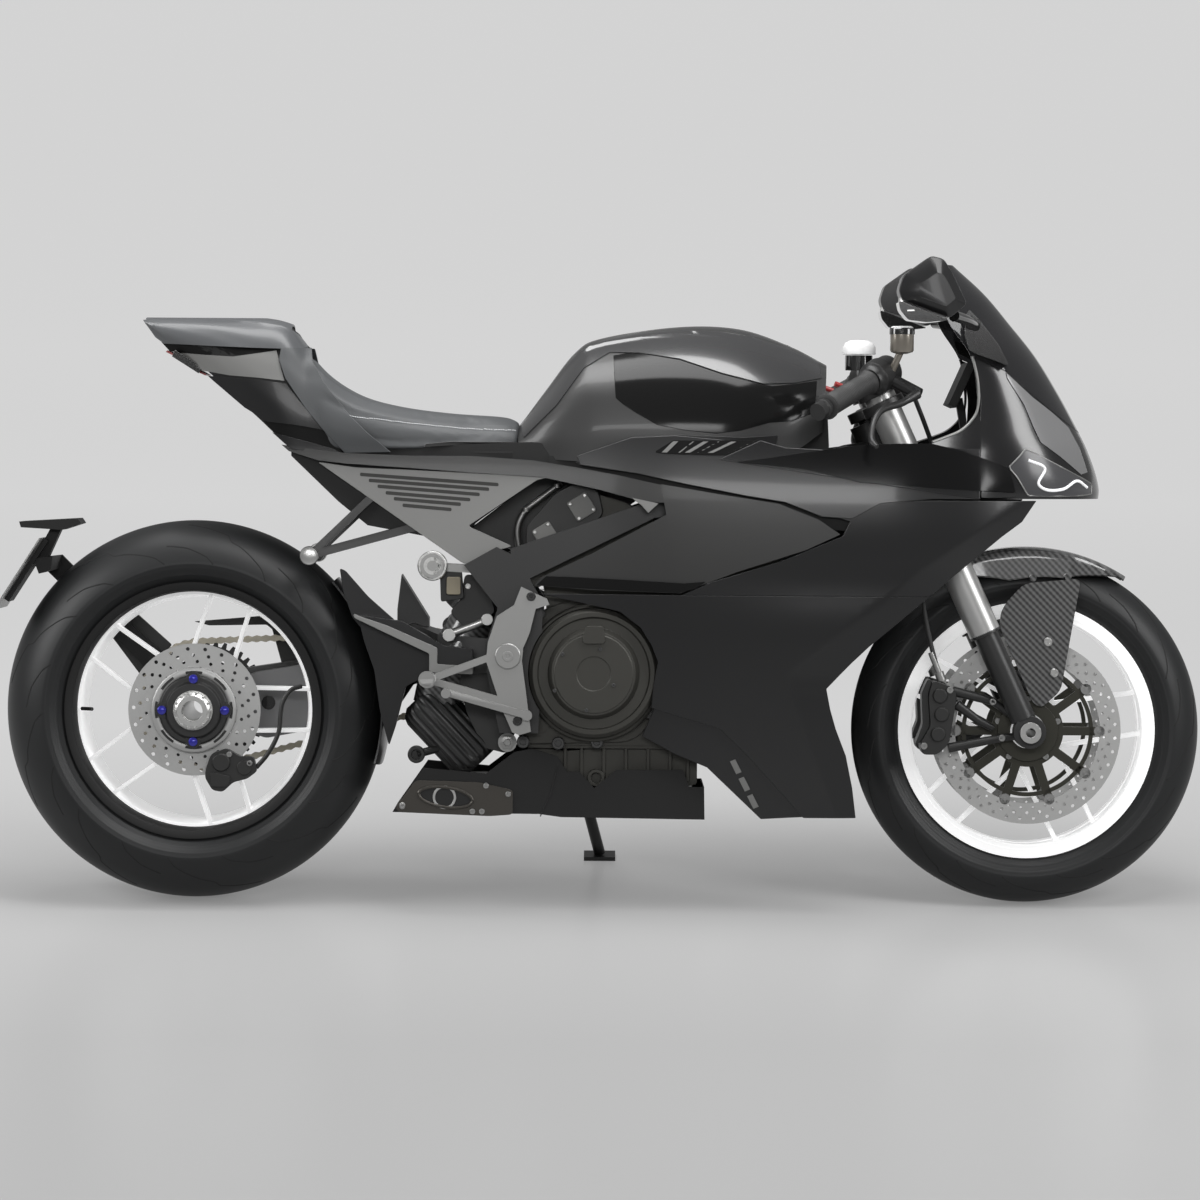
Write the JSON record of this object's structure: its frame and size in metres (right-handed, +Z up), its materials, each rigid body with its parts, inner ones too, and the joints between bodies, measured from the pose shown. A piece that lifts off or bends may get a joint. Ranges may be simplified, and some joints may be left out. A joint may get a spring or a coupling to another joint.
{
  "type": "sport motorcycle",
  "caption": "Fully faired sport motorcycle leaning on its side stand, with single-sided swingarm, turning wheels, steering and folding stand.",
  "frame": {"origin": "on the floor, under the middle of the whole motorcycle's box as it leans on its side stand", "axes": "+X forwards along the motorcycle, +Y to its left, the side it leans to, +Z up"},
  "size_m": [2.0749, 0.7114, 1.1474],
  "materials": {
    "frame_paint": "satin dark grey",
    "brushed_alloy": "bead-blasted light grey alloy",
    "dark_alloy": "dark bronze-grey casting",
    "fairing_black": "satin to gloss black",
    "matte_black": "matte black",
    "tank_paint": "satin black",
    "seat_leather": "stitched grey leather",
    "smoked_screen": "smoked, nearly opaque",
    "lamp_lens": "clear lens over light strips",
    "red_lens": "red lens",
    "steel": "brushed",
    "dark_steel": "dark",
    "white_wheel": "white painted alloy",
    "tyre": "rubber",
    "grip_rubber": "ribbed rubber",
    "carbon": "carbon twill",
    "plate_white": "blank plate"
  },
  "bodies": {
    "chassis": {"side_plates": "brushed_alloy", "frame_covers": "frame_paint", "shoulder_fairings": "fairing_black", "headlamps": "lamp_lens", "mirrors": "matte_black", "foot_hangers": "brushed_alloy", "foot_levers": "brushed_alloy", "pillion_hangers": "brushed_alloy", "side_fairings": "fairing_black", "left_covers": "dark_alloy", "main_frame": "frame_paint", "engine": "dark_alloy", "clutch_cover": "dark_alloy", "drive_chain": "dark_steel", "swingarm": "frame_paint", "shock_absorber": "dark_steel", "oil_reservoir": "brushed_alloy", "ribbed_can": "dark_steel", "belly_pan": "matte_black", "exhaust_box": "dark_steel", "nose_cowl": "fairing_black", "windscreen": "smoked_screen", "dashboard": "matte_black", "fuel_tank": "tank_paint", "seat": "seat_leather", "tail_unit": "fairing_black", "tail_light": "red_lens", "undertail": "matte_black", "plate_holder": "matte_black", "number_plate": "plate_white", "radiator": "dark_alloy", "rear_caliper": "dark_alloy"},
    "steering": {"lower_yoke": "dark_alloy", "upper_yoke": "dark_alloy", "fork_sleeves": "brushed_alloy", "fork_legs": "dark_alloy", "front_axle": "steel", "front_calipers": "dark_alloy", "clip_ons": "dark_alloy", "grips": "grip_rubber", "hand_levers": "dark_alloy", "brake_reservoir": "brushed_alloy", "brake_hoses": "grip_rubber", "front_fender": "carbon"},
    "front_wheel": {"front_tyre": "tyre", "front_rim": "white_wheel", "front_discs": "steel", "disc_carriers": "dark_alloy"},
    "rear_wheel": {"rear_tyre": "tyre", "rear_rim": "white_wheel", "rear_hub": "steel", "rear_disc": "steel", "rear_sprocket": "dark_steel"},
    "side_stand": {"side_stand": "dark_steel"}
  },
  "joints": [
    {"name": "steering_turn", "type": "hinge", "parent": "chassis", "child": "steering", "pos_m": [0.49459, -0.03404, 0.75012], "axis": [-0.4147, 0.158, 0.8961], "range_deg": [-25, 25]},
    {"name": "front_wheel_spin", "type": "hinge", "parent": "steering", "child": "front_wheel", "pos_m": [0.73753, -0.11405, 0.29638], "axis": [0, 0.9848, -0.1736], "continuous": true},
    {"name": "rear_wheel_spin", "type": "hinge", "parent": "chassis", "child": "rear_wheel", "pos_m": [-0.69647, -0.10942, 0.32264], "axis": [0, 0.9848, -0.1736], "continuous": true},
    {"name": "side_stand_fold", "type": "hinge", "parent": "chassis", "child": "side_stand", "pos_m": [-0.05647, 0.03177, 0.25955], "axis": [0.0468, 0.9381, 0.3431], "range_deg": [0, 86]}
  ]
}
